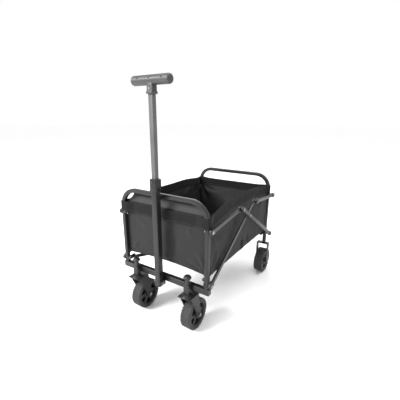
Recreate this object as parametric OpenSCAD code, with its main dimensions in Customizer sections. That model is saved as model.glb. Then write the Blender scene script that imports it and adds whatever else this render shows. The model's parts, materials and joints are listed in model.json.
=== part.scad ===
/* [Overall] */
// Distance between the centres of the left and right posts
track_w = 400; // [340:1:480]
// Distance between the front and rear lower pivots with the wagon open
base_l = 600; // [500:1:720]
// Height of the lower pivots above the ground
pivot_low_z = 224; // [218:1:240]
// Height from the lower pivots to the upper pivots
pivot_rise = 210; // [180:1:240]
// Height of the top of the end loops
loop_top_z = 539; // [515:1:590]

/* [End frames] */
// Side of the square loop tube
post_t = 16; // [14:1:20]
// Wall of all steel tubes
tube_wall = 1.5; // [1:0.1:2]
// Outer radius of the loop's top corners
loop_r = 75; // [50:1:90]
// Height of the front cross bar
bar_h = 25; // [20:1:30]
// Depth of the front cross bar
bar_d = 20; // [16:1:24]
// How far the front cross bar runs past the posts
bar_over = 4; // [0:0.5:8]

/* [Side links] */
// Width of a link tube
link_w = 16; // [14:1:20]
// Thickness of a link tube
link_t = 8; // [7:0.5:9]
// Radius of a plastic end cap
cap_r = 10; // [9.5:0.5:12]
// Thickness of a plastic end cap
cap_t = 11; // [10.5:0.5:11.5]
// Distance between the inner and outer link planes
link_pitch = 12; // [12:0.5:14]
// Radius of the pivot pins and rivets
pin_r = 3.5; // [3:0.1:4]
// Length of a long link above the crossing
link_tail = 85; // [70:1:100]
// Height of the crossing rivet above the lower pivots
cross_rise = 188; // [170:1:205]

/* [Wheels] */
// Radius of every wheel
wheel_r = 64; // [60:0.5:66]
// Width of a tyre
tyre_w = 44; // [38:1:46]
// Depth of the rubber on the rim
tyre_depth = 14; // [12:1:18]
// Radius of the axles
axle_r = 4; // [3.5:0.1:5]
// Distance of a caster stem from the centre line
caster_x = 128; // [120:1:136]
// How far a front axle trails behind its stem
caster_trail = 43; // [36:1:48]
// Thickness of the fork plate
fork_t = 3; // [2.5:0.5:4]
// Distance of a rear wheel from the centre line, short of the post
rear_inset = 6; // [0:1:10]

/* [Handle] */
// Side of the outer handle tube
outer_t = 24; // [22:0.5:26]
// Side of the inner handle tube
inner_t = 19; // [17:0.5:20]
// Height of the top of the outer handle tube
outer_top_z = 579; // [520:1:610]
// Height of the grip's centre line with the handle pulled out
grip_z = 921; // [860:1:950]
// Radius of the grip
grip_r = 16; // [14:0.5:19]
// Length of the grip
grip_l = 162; // [130:1:190]

/* [Bag] */
// Thickness of the doubled cloth
cloth_t = 1.2; // [0.8:0.1:1.5]
// Height of the bag floor
bag_floor_z = 238; // [236:0.5:250]
// Height of the top edge of the side cloth
bag_side_z = 499; // [478:1:512]
// Height of the top edge of the end cloth
bag_end_z = 485; // [470:1:495]
// Height of the hem band around the posts
hem_h = 42; // [30:1:45]
// Height of the front lip above the end cloth
lip_rise = 26; // [20:1:30]
// How far the front lip leans in over the bag
lip_run = 15; // [8:1:20]

/* [Clearances] */
// Radial running clearance of every pin in its bore
run_gap = 0.05; // [0.02:0.01:0.1]
// Gap kept between pieces that move past each other
side_gap = 0.3; // [0.3:0.05:0.5]

/* [Hidden] */
$fn = 48;

frame_col = "#4a4b4d";
steel_col = "#8b8c8e";
plastic_col = "#26272a";
cloth_col = "#3a3b3d";
rubber_col = "#2c2c2e";

// Lengthwise places: the box around the whole wagon is centred on the origin
handle_off = 31;
collar_w = outer_t + 8;
collar_swell = 0.75;
button_out = 3;
nose = handle_off + max(grip_r, collar_w / 2 + collar_swell + button_out);
front_y = nose - (nose + base_l + wheel_r) / 2;
rear_y = front_y + base_l;
handle_y = front_y - handle_off;

// Crosswise places
post_x = track_w / 2;
post_out = post_x + post_t / 2;
post_in = post_x - post_t / 2;
cloth_in = post_out + 0.5;
cloth_out = cloth_in + cloth_t;
inner_plane = cloth_out + side_gap + cap_t / 2;
outer_plane = inner_plane + link_pitch;

// Heights
pivot_up_z = pivot_low_z + pivot_rise;
bar_top_z = pivot_low_z - cap_r - 4.5;
bar_z = bar_top_z - bar_h / 2;
hem_low_z = bag_end_z - hem_h;

// Long links: from a lower pivot through the crossing to a free top end
lean = atan2(base_l / 2, cross_rise);
link_low = base_l / 2 / sin(lean);
link_l = link_low + link_tail;
tail_y = link_tail * sin(lean);
tail_z = pivot_low_z + link_l * cos(lean);

// Short braces: from an upper pivot to the free end of a long link
brace_dy = base_l / 2 - tail_y;
brace_dz = tail_z - pivot_up_z;
brace_l = norm([brace_dy, brace_dz]);
brace_lean = atan2(brace_dy, brace_dz);

// Pins
head_r = pin_r + 3;
head_t = 1.4;
bore_r = pin_r + run_gap;

// Casters
stem_r = 6;
housing_w = 24;
housing_d = 22;
housing_low = bar_z - 21;
housing_top = housing_low + 40;
stem_y = front_y - bar_d / 2 - housing_d / 2;
crown_top = housing_low - 10;
fork_gap = tyre_w / 2 + 3;
fork_out = fork_gap + fork_t;
caster_y = stem_y + caster_trail;
knob_r = 14;

// Rear forks
rear_wheel_x = post_x - rear_inset;
rear_gap = tyre_w / 2 + 5;
rear_out = rear_gap + fork_t;
rear_crown = wheel_r + wheel_r + 38;
strap_w = 28;

// Handle
tilt_z = bar_z - 13;
outer_low_z = tilt_z - 12;
tilt_r = 4;
ear_t = 3;
ear_gap = 0.5;
collar_low = outer_top_z - 25;
collar_h = 45;
inner_low_z = collar_low - 40;
inner_top_z = grip_z - 8;
button_r = 5;
button_z = outer_top_z + 10;
button_len = 8;
neck_w = 26;
neck_low = grip_z - 42;
shell_t = 2.5;

// Floor struts
strut_t = 12;
strut_back = 25;
strut_eye_x = post_in - 13;
strut_eye_w = 14;
strut_len = base_l / 2 - strut_back;
strut_y = front_y + strut_back;
hub_front_x = 10;
hub_rear_x = 65;
hub_half = hub_rear_x - strut_t / 2 - side_gap;
mid_y = front_y + base_l / 2;
bracket_half = 9;
function strut_turn(tip_x) = atan2(strut_eye_x - tip_x, strut_len);

// A square outline with small flats on its corners
module square_tube_outline(w, h, flat = 1.6) {
  polygon([
    [-w / 2 + flat, -h / 2], [w / 2 - flat, -h / 2], [w / 2, -h / 2 + flat], [w / 2, h / 2 - flat],
    [w / 2 - flat, h / 2], [-w / 2 + flat, h / 2], [-w / 2, h / 2 - flat], [-w / 2, -h / 2 + flat]
  ]);
}

module tube_ring(w, h, wall = tube_wall, flat = 1.6) {
  difference() {
    square_tube_outline(w, h, flat);
    square_tube_outline(w - 2 * wall, h - 2 * wall, flat / 2);
  }
}

// A cylinder along X from x0 to x1, at height z and length position y
module x_rod(x0, x1, r, y = 0, z = 0, fn = 40) {
  translate([x0, y, z]) rotate([0, 90, 0]) cylinder(r = r, h = x1 - x0, $fn = fn);
}

// A straight square tube along Z
module z_tube(w, d, z0, z1) {
  translate([0, 0, z0]) linear_extrude(z1 - z0) tube_ring(w, d);
}

module on_side(side) {
  if (side > 0) children();
  else mirror([1, 0, 0]) children();
}

module both_sides() {
  children();
  mirror([1, 0, 0]) children();
}

// ---- End loops ----

// An inverted U of square tube in the plane y = 0, its feet at foot_z
module loop(foot_z) {
  bend = loop_r - post_t / 2;
  bend_z = loop_top_z - loop_r;
  both_sides() {
    translate([post_x, 0, 0]) z_tube(post_t, post_t, foot_z, bend_z);
    translate([post_x - bend, 0, bend_z]) rotate([90, 0, 0])
      rotate_extrude(angle = 90) translate([bend, 0]) tube_ring(post_t, post_t);
  }
  half = post_x - bend;
  translate([-half, 0, loop_top_z - post_t / 2]) rotate([90, 0, 90])
    linear_extrude(2 * half) tube_ring(post_t, post_t);
}

module post_bores() {
  for (z = [pivot_low_z, pivot_up_z])
    both_sides() x_rod(post_in - 1, post_out + 1, pin_r + 0.1, 0, z);
}

module front_loop() {
  color(frame_col) translate([0, front_y, 0]) difference() {
    loop(bar_top_z);
    post_bores();
  }
}

module rear_loop() {
  color(frame_col) translate([0, rear_y, 0]) difference() {
    loop(rear_crown);
    post_bores();
  }
}

module front_cross_bar() {
  half = post_out + bar_over;
  color(frame_col) {
    translate([-half + 2, front_y, bar_z]) rotate([90, 0, 90])
      linear_extrude(2 * half - 4) tube_ring(bar_d, bar_h);
    both_sides() translate([half - 2, front_y, bar_z]) rotate([90, 0, 90])
      linear_extrude(2) square_tube_outline(bar_d, bar_h);
  }
}

module rear_cross_bar() {
  rear_bar_z = pivot_low_z + bracket_half + 1 + post_t / 2;
  color(frame_col) translate([-post_in, rear_y, rear_bar_z]) rotate([90, 0, 90])
    linear_extrude(2 * post_in) tube_ring(post_t, post_t);
}

// A pin through a post with a head on each end, reaching past the link plane at plane_x
module post_pin(plane_x, z) {
  reach = plane_x + cap_t / 2 + side_gap;
  both_sides() {
    x_rod(post_in, reach, pin_r, 0, z);
    x_rod(reach, reach + head_t, head_r, 0, z);
    x_rod(post_in - 2, post_in, head_r, 0, z);
  }
}

module front_pivot_pins() {
  color(steel_col) translate([0, front_y, 0])
    for (z = [pivot_low_z, pivot_up_z]) post_pin(inner_plane, z);
}

// The rear pins carry the outer links, so each has a spacer that fills the inner plane
module rear_pivot_pins() {
  color(steel_col) translate([0, rear_y, 0])
    for (z = [pivot_low_z, pivot_up_z]) {
      post_pin(outer_plane, z);
      both_sides() x_rod(post_out, outer_plane - cap_t / 2 - side_gap, pin_r + 4, 0, z);
    }
}

// Ears on the inside of the posts that carry the floor struts, whose tips lie at tip_x; each
// pin's head stays clear of the slanting strut
module strut_brackets(tip_x) {
  plate_t = 3;
  small_head_r = head_r - 1;
  turn = strut_turn(tip_x);
  pin_end = strut_eye_x - strut_t / 2 / cos(turn) - small_head_r * tan(turn) - 2 * side_gap;
  both_sides() {
    difference() {
      translate([post_in - plate_t, -post_t / 2, pivot_low_z - bracket_half])
        cube([plate_t, strut_back + 8 + post_t / 2, 2 * bracket_half]);
      x_rod(post_in - 5, post_in + 1, head_r + 0.5, 0, pivot_low_z);
    }
    x_rod(pin_end, post_in - plate_t, pin_r, strut_back, pivot_low_z);
    x_rod(pin_end - head_t, pin_end, small_head_r, strut_back, pivot_low_z);
  }
}

module front_brackets() {
  color(frame_col) translate([0, front_y, 0]) strut_brackets(hub_front_x);
}

module rear_brackets() {
  color(frame_col) translate([0, rear_y, 0]) mirror([0, 1, 0]) strut_brackets(hub_rear_x);
}

// ---- Front casters ----

module caster_housings() {
  color(frame_col) both_sides() translate([caster_x, stem_y, 0]) difference() {
    translate([0, 0, housing_low]) linear_extrude(housing_top - housing_low)
      square_tube_outline(housing_w, housing_d, 2);
    translate([0, 0, housing_low - 1])
      cylinder(r = stem_r + run_gap, h = housing_top - housing_low + 2);
  }
}

// The stem, its thrust collar above the housing and the round cap on top
module caster_stem(side) {
  collar_z = housing_top + side_gap;
  color(plastic_col) translate([side * caster_x, stem_y, 0]) rotate_extrude() polygon([
    [0, crown_top - fork_t], [stem_r, crown_top - fork_t], [stem_r, collar_z],
    [11, collar_z], [11, collar_z + 5], [8.5, collar_z + 7], [8.5, collar_z + 19],
    [knob_r - 1.5, collar_z + 20], [knob_r, collar_z + 22], [knob_r, collar_z + 29],
    [knob_r - 3, collar_z + 33], [0, collar_z + 34.5]
  ]);
}

// A leg in the YZ plane: wide under the crown, narrow and round at the axle
module fork_leg(top_front, top_back, end_y, drop, end_r) {
  run_y = end_y - (top_front + top_back) / 2;
  reach = norm([run_y, drop]);
  ny = drop / reach * end_r;
  nz = run_y / reach * end_r;
  rotate([90, 0, 90]) linear_extrude(fork_t) {
    polygon([
      [top_front, 0], [top_back, 0], [top_back, -8], [end_y + ny, -drop + nz],
      [end_y - ny, -drop - nz], [top_front, -8]
    ]);
    translate([end_y, -drop]) circle(r = end_r);
  }
}

module caster_fork(side) {
  front = -25;
  back = 38;
  drop = crown_top - wheel_r;
  color(frame_col) translate([side * caster_x, stem_y, crown_top]) difference() {
    union() {
      translate([-fork_out, front, -fork_t]) cube([2 * fork_out, back - front, fork_t]);
      for (x = [-fork_out, fork_gap])
        translate([x, 0, 0]) fork_leg(front + 12, back, caster_trail, drop, 12);
      cylinder(r1 = fork_out - 1, r2 = 13, h = 10 - side_gap);
    }
    translate([0, 0, -fork_t - 1]) cylinder(r = stem_r, h = 30);
    x_rod(-fork_out - 1, fork_out + 1, axle_r, caster_trail, -drop);
  }
}

// Axle bolt with a hexagonal head and nut outside the legs at half width w
module axle_bolt(w) {
  x_rod(-w - 3, w + 5, axle_r);
  translate([-w - 4.5, 0, 0]) rotate([0, 90, 0]) cylinder(r = 7.5, h = 4.5, $fn = 6);
  translate([w, 0, 0]) rotate([0, 90, 0]) cylinder(r = 7.5, h = 4.5, $fn = 6);
}

module caster_axle(side) {
  color(steel_col) translate([side * caster_x, caster_y, wheel_r]) axle_bolt(fork_out);
}

// ---- Wheels ----

spokes = 6;
rim_r = wheel_r - tyre_depth;
hub_r = 15;

module tyre() {
  half = tyre_w / 2;
  color(rubber_col) rotate([0, 90, 0]) rotate_extrude($fn = 96) polygon([
    [rim_r, -half + 3], [rim_r, half - 3], [rim_r + 3, half - 0.8], [rim_r + 6, half],
    [wheel_r - 5, half - 1], [wheel_r - 1.6, half - 4], [wheel_r, half - 9],
    [wheel_r, -half + 9], [wheel_r - 1.6, -half + 4], [wheel_r - 5, -half + 1],
    [rim_r + 6, -half], [rim_r + 3, -half + 0.8]
  ]);
}

// One pocket between two spokes, drawn in the wheel's plane
module spoke_window() {
  r_low = hub_r + 6;
  r_high = rim_r - 7;
  half_low = 12;
  half_high = 20;
  polygon([
    [r_low * cos(half_low), r_low * sin(half_low)], [r_high * cos(half_high), r_high * sin(half_high)],
    [(r_high + 2.5) * cos(half_high / 2), (r_high + 2.5) * sin(half_high / 2)], [r_high + 3.3, 0],
    [(r_high + 2.5) * cos(half_high / 2), -(r_high + 2.5) * sin(half_high / 2)],
    [r_high * cos(half_high), -r_high * sin(half_high)], [r_low * cos(half_low), -r_low * sin(half_low)]
  ]);
}

module rim(hub_half) {
  web = tyre_w - 16;
  disc_t = 3;
  rim_half = tyre_w / 2 - 3;
  color(plastic_col) rotate([0, 90, 0]) difference() {
    union() {
      translate([0, 0, -rim_half]) difference() {
        cylinder(r = rim_r, h = 2 * rim_half, $fn = 96);
        translate([0, 0, -1]) cylinder(r = rim_r - 4, h = 2 * rim_half + 2, $fn = 96);
      }
      translate([0, 0, -web / 2]) linear_extrude(web) difference() {
        circle(r = rim_r - 2, $fn = 96);
        for (i = [0:spokes - 1]) rotate(i * 360 / spokes) spoke_window();
      }
      translate([0, 0, -disc_t / 2]) cylinder(r = rim_r - 2, h = disc_t, $fn = 96);
      translate([0, 0, -hub_half]) cylinder(r = hub_r, h = 2 * hub_half);
    }
    translate([0, 0, -hub_half - 1]) cylinder(r = axle_r + run_gap, h = 2 * hub_half + 2);
  }
}

module front_wheel_place(side) {
  translate([side * caster_x, caster_y, wheel_r]) children();
}

module rear_wheel_place(side) {
  translate([side * rear_wheel_x, rear_y, wheel_r]) children();
}

// ---- Rear forks ----

module rear_forks() {
  drop = rear_crown - wheel_r;
  color(frame_col) both_sides() translate([rear_wheel_x, rear_y, rear_crown]) difference() {
    union() {
      translate([-rear_out, -strap_w / 2, -fork_t]) cube([2 * rear_out, strap_w, fork_t]);
      for (x = [-rear_out, rear_gap])
        translate([x, 0, 0]) fork_leg(-strap_w / 2, strap_w / 2, 0, drop, 11);
    }
    x_rod(-rear_out - 1, rear_out + 1, axle_r, 0, -drop);
  }
}

module rear_axles() {
  color(steel_col) both_sides() rear_wheel_place(1) axle_bolt(rear_out);
}

// ---- Side links ----

// Puts a link that is drawn upwards from its pivot into its place: at y, z, tipped by angle
module link_place(plane_x, y, z, angle) {
  translate([plane_x, y, z]) rotate([-angle, 0, 0]) children();
}

// A flat tube along Z with bores at heights
module link_tube(z0, z1, bores) {
  difference() {
    translate([0, 0, z0]) linear_extrude(z1 - z0) tube_ring(link_t, link_w, 1.2, 1.2);
    for (z = bores) x_rod(-link_t, link_t, bore_r, 0, z);
  }
}

// A plastic cap over a tube end, with its pivot bore at the origin and the tube leaving along +Z
module end_cap() {
  socket = 16;
  difference() {
    union() {
      x_rod(-cap_t / 2, cap_t / 2, cap_r);
      translate([-cap_t / 2, -cap_r, 0]) cube([cap_t, 2 * cap_r, socket]);
    }
    translate([-link_t / 2, -link_w / 2, -link_end]) cube([link_t, link_w, socket + link_end + 1]);
    x_rod(-cap_t, cap_t, bore_r);
  }
}

link_end = 5;

// A rivet whose two heads lie on the faces x0 and x1
module rivet(x0, x1, z, heads = [true, true]) {
  x_rod(x0, x1, pin_r, 0, z);
  if (heads[0]) x_rod(x0 - head_t, x0, head_r, 0, z);
  if (heads[1]) x_rod(x1, x1 + head_t, head_r, 0, z);
}

module front_diagonal_place(side) {
  on_side(side) link_place(inner_plane, front_y, pivot_low_z, lean) children();
}

module rear_diagonal_place(side) {
  on_side(side) link_place(outer_plane, rear_y, pivot_low_z, -lean) children();
}

module front_diagonal(side) {
  color(frame_col) front_diagonal_place(side)
    link_tube(-link_end, link_l + link_end, [0, link_low, link_l]);
}

// Both end caps, the crossing rivet with its washer, and the rivet of the top end
module front_diagonal_caps(side) {
  face = link_t / 2;
  gap_end = link_pitch - link_t / 2 - side_gap;
  color(plastic_col) front_diagonal_place(side) {
    end_cap();
    translate([0, 0, link_l]) rotate([180, 0, 0]) end_cap();
    rivet(-face, link_pitch + face + side_gap, link_low);
    x_rod(face, gap_end, head_r + 1, 0, link_low);
    rivet(-cap_t / 2 + head_t, cap_t / 2, link_l, [false, false]);
  }
}

module rear_diagonal(side) {
  color(frame_col) rear_diagonal_place(side)
    link_tube(-link_end, link_l + link_end, [0, link_low, link_l]);
}

module rear_diagonal_caps(side) {
  color(plastic_col) rear_diagonal_place(side) {
    end_cap();
    translate([0, 0, link_l]) rotate([180, 0, 0]) end_cap();
    rivet(-cap_t / 2, cap_t / 2, link_l, [false, true]);
  }
}

// A short brace with its two caps and the rivet of its free end
module brace(outer_head) {
  link_tube(-link_end, brace_l + link_end, [0, brace_l]);
  end_cap();
  translate([0, 0, brace_l]) rotate([180, 0, 0]) end_cap();
  rivet(-cap_t / 2, cap_t / 2, brace_l, [false, outer_head]);
}

module front_brace(side) {
  color(frame_col) on_side(side) link_place(inner_plane, front_y, pivot_up_z, brace_lean)
    brace(false);
}

module rear_brace(side) {
  color(frame_col) on_side(side) link_place(outer_plane, rear_y, pivot_up_z, -brace_lean)
    brace(true);
}

// ---- Floor struts ----

// A strut from its eye at the frame to a tip at tip_x over the wagon's middle line
module floor_strut(tip_x, tip_eye) {
  turn = strut_turn(tip_x);
  length = norm([strut_eye_x - tip_x, strut_len]);
  difference() {
    union() {
      translate([strut_eye_x, 0, 0]) rotate([-90, 0, turn])
        translate([0, 0, 2]) linear_extrude(length - 4) square_tube_outline(strut_t, strut_t);
      x_rod(strut_eye_x - strut_eye_w / 2, strut_eye_x + strut_eye_w / 2, 7.5);
      if (tip_eye) x_rod(tip_x - strut_t / 2, tip_x + strut_t / 2, 7, strut_len);
    }
    x_rod(strut_eye_x - strut_eye_w, strut_eye_x + strut_eye_w, bore_r);
    if (tip_eye) x_rod(tip_x - strut_t, tip_x + strut_t, bore_r, strut_len);
    else x_rod(-hub_half, hub_half, 7.5, strut_len);
  }
}

module floor_strut_front(side) {
  color(frame_col) on_side(side) translate([0, strut_y, pivot_low_z]) floor_strut(hub_front_x, false);
}

module floor_strut_rear(side) {
  color(frame_col) on_side(side) translate([0, rear_y - strut_back, pivot_low_z])
    mirror([0, 1, 0]) floor_strut(hub_rear_x, true);
}

module floor_hub_tube() {
  color(frame_col) difference() {
    x_rod(-hub_half, hub_half, 7.5, mid_y, pivot_low_z);
    x_rod(-hub_half - 1, hub_half + 1, 5, mid_y, pivot_low_z);
  }
}

// ---- Handle ----

module handle_bracket() {
  in = outer_t / 2 + ear_gap;
  back = front_y - bar_d / 2;
  color(frame_col) difference() {
    union() {
      translate([-in - ear_t, back - 2, tilt_z - 11]) cube([2 * (in + ear_t), 2, 22]);
      for (x = [-in - ear_t, in]) {
        translate([x, handle_y, tilt_z - 11]) cube([ear_t, back - handle_y - 1, 22]);
        x_rod(x, x + ear_t, 11, handle_y, tilt_z);
      }
    }
    x_rod(-in - ear_t - 1, in + ear_t + 1, tilt_r, handle_y, tilt_z);
  }
}

module handle_pivot_bolt() {
  out = outer_t / 2 + ear_gap + ear_t;
  color(steel_col) translate([0, handle_y, tilt_z]) {
    x_rod(-out, out, tilt_r);
    x_rod(-out - 3, -out, 7.5);
    translate([out, 0, 0]) rotate([0, 90, 0]) cylinder(r = 7, h = 4, $fn = 6);
  }
}

module handle_outer_tube() {
  color(frame_col) translate([0, handle_y, 0]) difference() {
    z_tube(outer_t, outer_t, outer_low_z, outer_top_z);
    x_rod(-outer_t, outer_t, tilt_r + run_gap, 0, tilt_z);
  }
}

module handle_foot_plug() {
  in = outer_t - 2 * tube_wall - 0.2;
  color(plastic_col) translate([0, handle_y, outer_low_z]) {
    translate([0, 0, -2]) linear_extrude(2) square_tube_outline(outer_t, outer_t);
    linear_extrude(7) square_tube_outline(in, in, 1);
  }
}

// A square plastic collar: it caps the outer tube and guides the inner one
module handle_collar() {
  guide = inner_t + 2 * side_gap;
  color(plastic_col) translate([0, handle_y, collar_low]) difference() {
    union() {
      linear_extrude(collar_h) square_tube_outline(collar_w, collar_w, 4);
      translate([0, 0, 4]) linear_extrude(collar_h - 8)
        square_tube_outline(collar_w + 2 * collar_swell, collar_w + 2 * collar_swell, 5);
    }
    translate([0, 0, -1]) linear_extrude(outer_top_z - collar_low + 1)
      square_tube_outline(outer_t, outer_t);
    linear_extrude(collar_h + 1) square_tube_outline(guide, guide, 1);
    translate([0, -inner_t / 2 - side_gap, button_z - collar_low]) rotate([90, 0, 0])
      cylinder(r = button_r + run_gap, h = 20);
  }
}

// The release button in the front of the collar
module collar_button() {
  front = -(collar_w + 2 * collar_swell) / 2 - button_out;
  color(plastic_col) translate([0, handle_y + front + button_len, button_z]) rotate([90, 0, 0]) {
    cylinder(r = button_r, h = button_len - 1);
    cylinder(r = button_r - 1, h = button_len);
  }
}

module handle_inner_tube() {
  color(steel_col) translate([0, handle_y, 0]) z_tube(inner_t, inner_t, inner_low_z, inner_top_z);
}

module handle_glide() {
  in = inner_t - 2 * tube_wall - 0.2;
  out = outer_t - 2 * tube_wall - 0.4;
  color(plastic_col) translate([0, handle_y, inner_low_z]) {
    translate([0, 0, -12]) linear_extrude(12) square_tube_outline(out, out, 1);
    linear_extrude(10) square_tube_outline(in, in, 1);
  }
}

// ---- Grip ----

// A round bar along X with rounded ends, at grip height
module grip_bar(r, half) {
  curve = 9;
  translate([0, handle_y, grip_z]) rotate([0, 90, 0]) rotate_extrude() polygon(concat(
    [[0, -half]],
    [for (a = [0:15:90]) [r - curve + curve * sin(a), -half + curve - curve * cos(a)]],
    [for (a = [90:-15:0]) [r - curve + curve * sin(a), half - curve + curve * cos(a)]],
    [[0, half]]
  ));
}

screw_x = [-50, 0, 50];
boss_r = 4.5;
screw_r = 1.8;
screw_head_r = 3.4;

// A shell is one half of the hollow bar; dir is -1 in front and 1 behind
module grip_half(dir) {
  intersection() {
    grip_bar(grip_r, grip_l / 2);
    translate([-grip_l, dir > 0 ? handle_y : handle_y - 2 * grip_r, grip_z - 2 * grip_r])
      cube([2 * grip_l, 2 * grip_r, 4 * grip_r]);
  }
}

module neck_socket() {
  translate([0, handle_y, neck_low - 1]) linear_extrude(inner_top_z + 2 - neck_low)
    square_tube_outline(neck_w, neck_w, 3);
}

// The hollow of the grip, with a post left standing for each screw
module grip_hollow() {
  difference() {
    grip_bar(grip_r - shell_t, grip_l / 2 - shell_t);
    for (x = screw_x) translate([x, handle_y + grip_r, grip_z + 6]) rotate([90, 0, 0])
      cylinder(r = boss_r, h = 2 * grip_r);
  }
}

module grip_front_shell() {
  color(plastic_col) difference() {
    grip_half(-1);
    grip_hollow();
    neck_socket();
    for (x = screw_x) translate([x, handle_y + 1, grip_z + 6]) rotate([90, 0, 0]) {
      cylinder(r = screw_r + 0.1, h = 2 * grip_r);
      translate([0, 0, grip_r - 5.5]) cylinder(r = screw_head_r + 0.1, h = grip_r);
    }
  }
}

module grip_back_shell() {
  color(plastic_col) difference() {
    grip_half(1);
    grip_hollow();
    neck_socket();
    for (x = screw_x) translate([x, handle_y + 9, grip_z + 6]) rotate([90, 0, 0])
      cylinder(r = screw_r, h = 2 * grip_r);
  }
}

module grip_neck() {
  color(plastic_col) translate([0, handle_y, 0]) difference() {
    union() {
      translate([0, 0, neck_low]) linear_extrude(inner_top_z + 1 - neck_low)
        square_tube_outline(neck_w, neck_w, 3);
      translate([0, 0, neck_low]) linear_extrude(8)
        square_tube_outline(neck_w + 4, neck_w + 4, 4);
    }
    translate([0, 0, neck_low - 1]) linear_extrude(inner_top_z - neck_low + 1)
      square_tube_outline(inner_t, inner_t);
    translate([0, -inner_t / 2, neck_low + 16]) rotate([90, 0, 0]) cylinder(r = screw_r, h = 20);
  }
}

module grip_screws() {
  head_y = grip_r - 4.5;
  color(steel_col) {
    for (x = screw_x) translate([x, handle_y + 9, grip_z + 6]) rotate([90, 0, 0]) {
      cylinder(r = screw_r, h = 9 + head_y - 2);
      translate([0, 0, 9 + head_y - 2]) cylinder(r = screw_head_r, h = 2);
    }
    translate([0, handle_y - inner_t / 2, neck_low + 16]) rotate([90, 0, 0]) {
      cylinder(r = screw_r, h = neck_w / 2 - inner_t / 2);
      translate([0, 0, neck_w / 2 - inner_t / 2]) cylinder(r = screw_head_r, h = 1.5);
    }
  }
}

// ---- Bag ----

// An end panel inside the posts with a hem band that wraps them, opening towards +Y
module bag_end() {
  back = post_t / 2 + 0.5;
  difference() {
    translate([-cloth_out, -back - cloth_t, hem_low_z])
      cube([2 * cloth_out, 2 * (back + cloth_t), hem_h]);
    translate([-cloth_in, -back, hem_low_z - 1]) cube([2 * cloth_in, 2 * back, hem_h + 2]);
  }
  translate([-cloth_out, back, bag_floor_z]) cube([2 * cloth_out, cloth_t, bag_end_z - bag_floor_z]);
}

// A slanting lip between the front hem band and the top of the front loop
module bag_lip() {
  slope = norm([lip_run, lip_rise]);
  low_half = post_in - 16;
  high_half = post_x - loop_r + 15;
  translate([0, (post_t + cloth_t) / 2 + 0.5, bag_end_z - cloth_t])
    rotate([atan2(lip_rise, lip_run), 0, 0]) linear_extrude(cloth_t)
      polygon([[-low_half, 0], [low_half, 0], [high_half, slope], [-high_half, slope]]);
}

module bag_front() {
  color(cloth_col) translate([0, front_y, 0]) {
    bag_end();
    bag_lip();
  }
}

module bag_rear() {
  color(cloth_col) translate([0, rear_y, 0]) mirror([0, 1, 0]) bag_end();
}

bag_start = post_t / 2 + 0.5 + cloth_t + side_gap;

module bag_side(side) {
  color(cloth_col) on_side(side) translate([cloth_in, front_y + bag_start, bag_floor_z])
    cube([cloth_t, base_l - 2 * bag_start, bag_side_z - bag_floor_z]);
}

module bag_floor() {
  half = cloth_in - side_gap;
  color(cloth_col) translate([-half, front_y + bag_start, bag_floor_z])
    cube([2 * half, base_l - 2 * bag_start, cloth_t]);
}

front_loop();
front_cross_bar();
caster_housings();
front_pivot_pins();
front_brackets();
handle_bracket();
handle_pivot_bolt();
bag_front();
bag_side(-1);  // bag_left
bag_side(1);  // bag_right
bag_floor();
handle_outer_tube();
handle_foot_plug();
handle_collar();
collar_button();
handle_inner_tube();
handle_glide();
grip_front_shell();
grip_back_shell();
grip_neck();
grip_screws();
caster_fork(-1);  // caster_fork_left
caster_fork(1);  // caster_fork_right
caster_stem(-1);  // caster_stem_left
caster_stem(1);  // caster_stem_right
caster_axle(-1);  // caster_axle_left
caster_axle(1);  // caster_axle_right
front_wheel_place(-1) tyre();  // tyre_front_left
front_wheel_place(1) tyre();  // tyre_front_right
rear_wheel_place(-1) tyre();  // tyre_rear_left
rear_wheel_place(1) tyre();  // tyre_rear_right
front_wheel_place(-1) rim(fork_gap - 0.5);  // rim_front_left
front_wheel_place(1) rim(fork_gap - 0.5);  // rim_front_right
rear_wheel_place(-1) rim(rear_gap - 0.5);  // rim_rear_left
rear_wheel_place(1) rim(rear_gap - 0.5);  // rim_rear_right
rear_loop();
rear_cross_bar();
rear_forks();
rear_axles();
rear_pivot_pins();
rear_brackets();
bag_rear();
front_diagonal(-1);  // front_diagonal_left
front_diagonal(1);  // front_diagonal_right
front_diagonal_caps(-1);  // front_diagonal_caps_left
front_diagonal_caps(1);  // front_diagonal_caps_right
rear_diagonal(-1);  // rear_diagonal_left
rear_diagonal(1);  // rear_diagonal_right
rear_diagonal_caps(-1);  // rear_diagonal_caps_left
rear_diagonal_caps(1);  // rear_diagonal_caps_right
front_brace(-1);  // front_brace_left
front_brace(1);  // front_brace_right
rear_brace(-1);  // rear_brace_left
rear_brace(1);  // rear_brace_right
floor_strut_front(-1);  // floor_strut_front_left
floor_strut_front(1);  // floor_strut_front_right
floor_hub_tube();
floor_strut_rear(-1);  // floor_strut_rear_left
floor_strut_rear(1);  // floor_strut_rear_right
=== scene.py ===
import json
import math

import bmesh
import bpy
from mathutils import Matrix, Vector, noise


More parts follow.
